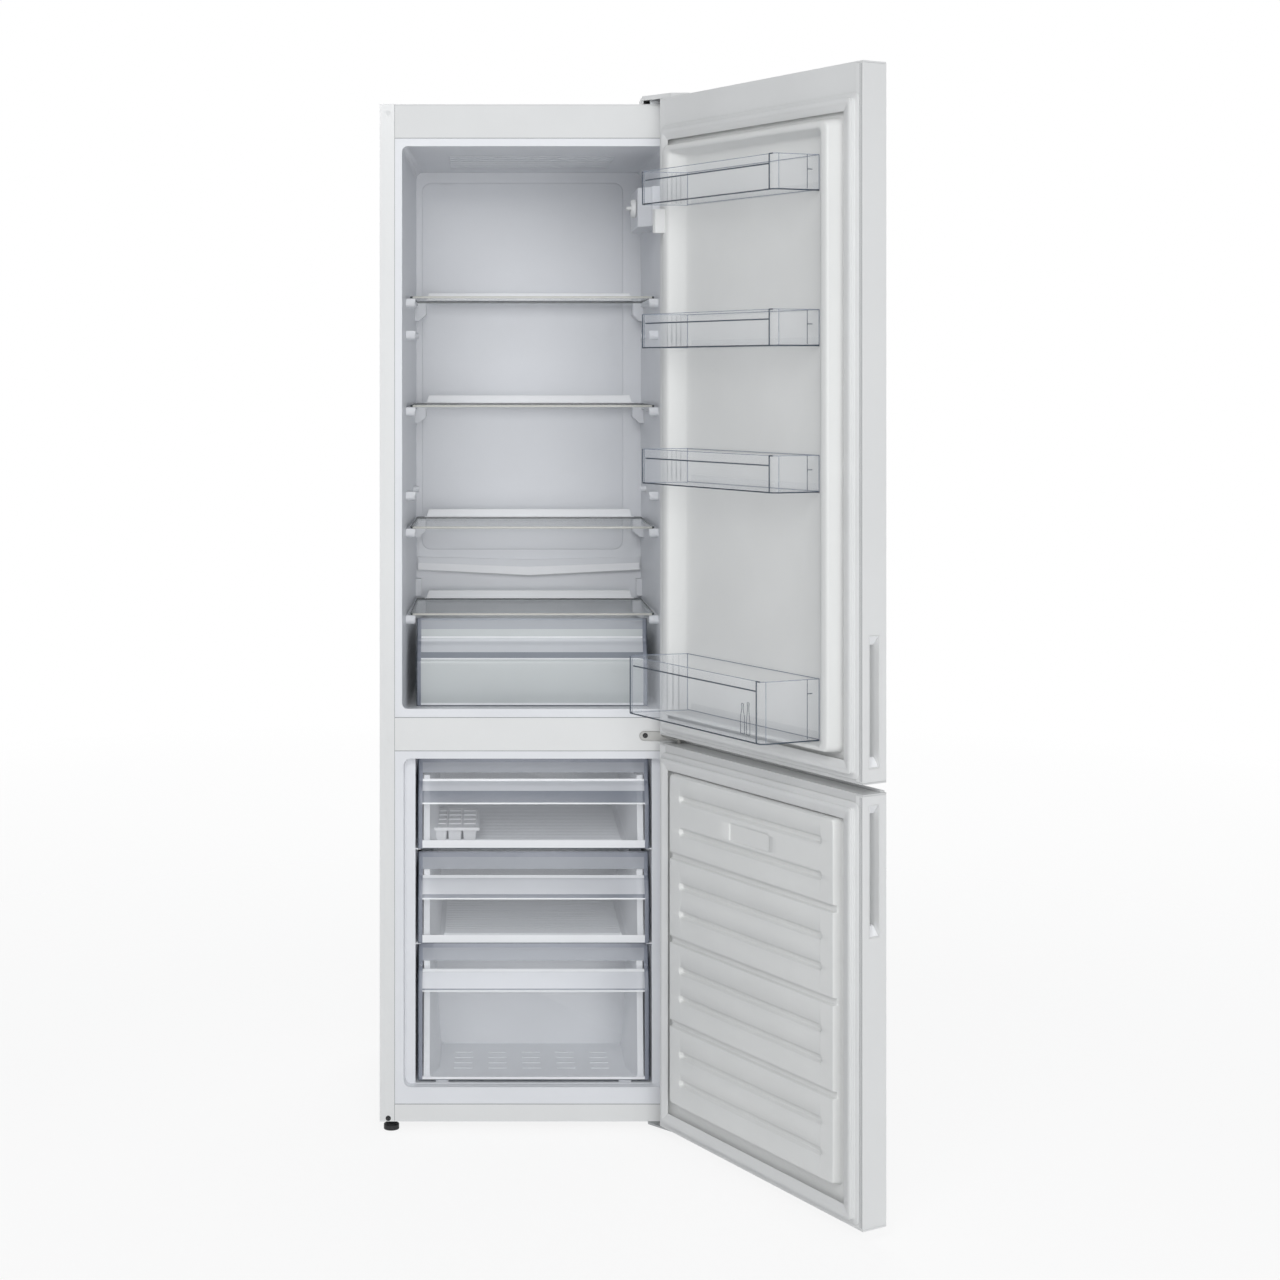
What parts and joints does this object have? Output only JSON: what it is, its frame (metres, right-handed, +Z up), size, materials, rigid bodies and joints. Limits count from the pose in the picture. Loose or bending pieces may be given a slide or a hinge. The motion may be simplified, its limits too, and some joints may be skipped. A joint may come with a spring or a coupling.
{
  "type": "bottom freezer refrigerator",
  "caption": "Free-standing white refrigerator over a bottom freezer, both hinged doors open, with glass shelves, clear crisper, clear freezer drawers and clear door bins.",
  "frame": {"origin": "bottom centre of the bounding box of the whole part, with both doors open at 120 degrees", "axes": "+Z up, +X to the right as seen from the front, -Y towards the front; the cabinet's front plane is at y = -0.0125 m and its centre line at x = -0.1290 m"},
  "size_m": [0.798, 1.0322, 1.813],
  "materials": {
    "painted_steel": "satin",
    "white_plastic": "satin",
    "back_board": "satin",
    "liner_plastic": "satin",
    "lamp_plastic": "satin",
    "grip_plastic": "satin",
    "seal": "matte",
    "insulation": "matte",
    "clear_plastic": "gloss",
    "shelf_glass": "gloss",
    "black_plastic": "matte",
    "wheel_rubber": "matte",
    "zinc_steel": "satin",
    "black_steel": "satin",
    "evaporator_aluminium": "satin"
  },
  "bodies": {
    "cabinet": {"left_side_panel": "painted_steel", "right_side_panel": "painted_steel", "top_cover": "white_plastic", "top_front_panel": "white_plastic", "middle_crossbar": "painted_steel", "base_crossbar": "painted_steel", "back_panel": "back_board", "floor_panel": "zinc_steel", "cabinet_foam": "insulation", "fridge_liner": "liner_plastic", "freezer_liner": "liner_plastic", "evaporator": "evaporator_aluminium", "compressor_tray": "zinc_steel", "compressor": "black_steel", "drip_tray": "black_plastic", "condenser": "black_steel", "top_hinge": "zinc_steel", "top_hinge_cover": "white_plastic", "middle_hinge": "zinc_steel", "bottom_hinge": "zinc_steel", "middle_hinge_screw": "zinc_steel", "foot_screw": "zinc_steel", "hole_plug_1": "white_plastic", "hole_plug_2": "white_plastic", "hole_plug_3": "white_plastic", "hole_plug_4": "white_plastic", "lamp_housing": "lamp_plastic"},
    "left_front_foot": {"left_front_foot": "black_plastic"},
    "right_front_foot": {"right_front_foot": "black_plastic"},
    "left_rear_wheel": {"left_rear_wheel": "wheel_rubber"},
    "right_rear_wheel": {"right_rear_wheel": "wheel_rubber"},
    "thermostat_knob": {"thermostat_knob": "white_plastic"},
    "lamp_switch": {"lamp_switch": "white_plastic"},
    "glass_shelf_1": {"glass_shelf_1": "shelf_glass"},
    "glass_shelf_2": {"glass_shelf_2": "shelf_glass"},
    "glass_shelf_3": {"glass_shelf_3": "shelf_glass"},
    "glass_shelf_4": {"glass_shelf_4": "shelf_glass"},
    "crisper_drawer": {"crisper_drawer": "clear_plastic"},
    "freezer_drawer_1": {"freezer_drawer_1": "clear_plastic"},
    "freezer_drawer_2": {"freezer_drawer_2": "clear_plastic"},
    "freezer_drawer_3": {"freezer_drawer_3": "clear_plastic"},
    "ice_cube_tray": {"ice_cube_tray": "white_plastic"},
    "door_bin_1": {"door_bin_1": "clear_plastic"},
    "door_bin_2": {"door_bin_2": "clear_plastic"},
    "door_bin_3": {"door_bin_3": "clear_plastic"},
    "bottle_rack": {"bottle_rack": "clear_plastic"},
    "upper_door": {"upper_door_skin": "painted_steel", "upper_door_foam": "insulation", "upper_door_liner": "liner_plastic", "upper_door_seal": "seal", "upper_door_top_cap": "white_plastic", "upper_door_bottom_cap": "white_plastic", "upper_door_grip": "grip_plastic"},
    "lower_door": {"lower_door_skin": "painted_steel", "lower_door_foam": "insulation", "lower_door_liner": "liner_plastic", "lower_door_seal": "seal", "lower_door_top_cap": "white_plastic", "lower_door_bottom_cap": "white_plastic", "lower_door_grip": "grip_plastic"}
  },
  "joints": [
    {"name": "upper_door_hinge", "type": "hinge", "parent": "cabinet", "child": "upper_door", "pos_m": [0.12202, -0.05145, 1.253], "axis": [0, 0, 1], "range_deg": [-120, 0]},
    {"name": "lower_door_hinge", "type": "hinge", "parent": "cabinet", "child": "lower_door", "pos_m": [0.12202, -0.05145, 0.3545], "axis": [0, 0, 1], "range_deg": [-120, 0]},
    {"name": "glass_shelf_1_slide", "type": "slide", "parent": "cabinet", "child": "glass_shelf_1", "axis": [0, -1, 0], "range_m": [0, 0.12]},
    {"name": "glass_shelf_2_slide", "type": "slide", "parent": "cabinet", "child": "glass_shelf_2", "axis": [0, -1, 0], "range_m": [0, 0.12]},
    {"name": "glass_shelf_3_slide", "type": "slide", "parent": "cabinet", "child": "glass_shelf_3", "axis": [0, -1, 0], "range_m": [0, 0.12]},
    {"name": "glass_shelf_4_slide", "type": "slide", "parent": "cabinet", "child": "glass_shelf_4", "axis": [0, -1, 0], "range_m": [0, 0.12]},
    {"name": "crisper_slide", "type": "slide", "parent": "cabinet", "child": "crisper_drawer", "axis": [0, -1, 0], "range_m": [0, 0.1]},
    {"name": "freezer_drawer_1_slide", "type": "slide", "parent": "cabinet", "child": "freezer_drawer_1", "axis": [0, -1, 0], "range_m": [0, 0.3]},
    {"name": "freezer_drawer_2_slide", "type": "slide", "parent": "cabinet", "child": "freezer_drawer_2", "axis": [0, -1, 0], "range_m": [0, 0.3]},
    {"name": "freezer_drawer_3_slide", "type": "slide", "parent": "cabinet", "child": "freezer_drawer_3", "axis": [0, -1, 0], "range_m": [0, 0.16]},
    {"name": "ice_cube_tray_lift", "type": "slide", "parent": "freezer_drawer_1", "child": "ice_cube_tray", "axis": [0, 0, 1], "range_m": [0, 0.03]},
    {"name": "door_bin_1_lift", "type": "slide", "parent": "upper_door", "child": "door_bin_1", "axis": [0, 0, 1], "range_m": [0, 0.02]},
    {"name": "door_bin_2_lift", "type": "slide", "parent": "upper_door", "child": "door_bin_2", "axis": [0, 0, 1], "range_m": [0, 0.02]},
    {"name": "door_bin_3_lift", "type": "slide", "parent": "upper_door", "child": "door_bin_3", "axis": [0, 0, 1], "range_m": [0, 0.02]},
    {"name": "bottle_rack_lift", "type": "slide", "parent": "upper_door", "child": "bottle_rack", "axis": [0, 0, 1], "range_m": [0, 0.02]},
    {"name": "thermostat_turn", "type": "hinge", "parent": "cabinet", "child": "thermostat_knob", "pos_m": [0.06002, 0.13755, 1.628], "axis": [-1, 0, 0], "range_deg": [0, 270]},
    {"name": "lamp_switch_press", "type": "slide", "parent": "cabinet", "child": "lamp_switch", "axis": [0, 1, 0], "range_m": [0, 0.005], "stiffness_N_per_m": 300, "springref_m": -0.002},
    {"name": "left_front_foot_turn", "type": "hinge", "parent": "cabinet", "child": "left_front_foot", "pos_m": [-0.37898, 0.00455, 0.008], "axis": [0, 0, 1], "continuous": true},
    {"name": "right_front_foot_turn", "type": "hinge", "parent": "cabinet", "child": "right_front_foot", "pos_m": [0.12102, 0.00455, 0.008], "axis": [0, 0, 1], "continuous": true},
    {"name": "left_rear_wheel_roll", "type": "hinge", "parent": "cabinet", "child": "left_rear_wheel", "pos_m": [-0.36498, 0.45555, 0.015], "axis": [1, 0, 0], "continuous": true},
    {"name": "right_rear_wheel_roll", "type": "hinge", "parent": "cabinet", "child": "right_rear_wheel", "pos_m": [0.10702, 0.45555, 0.015], "axis": [1, 0, 0], "continuous": true}
  ]
}
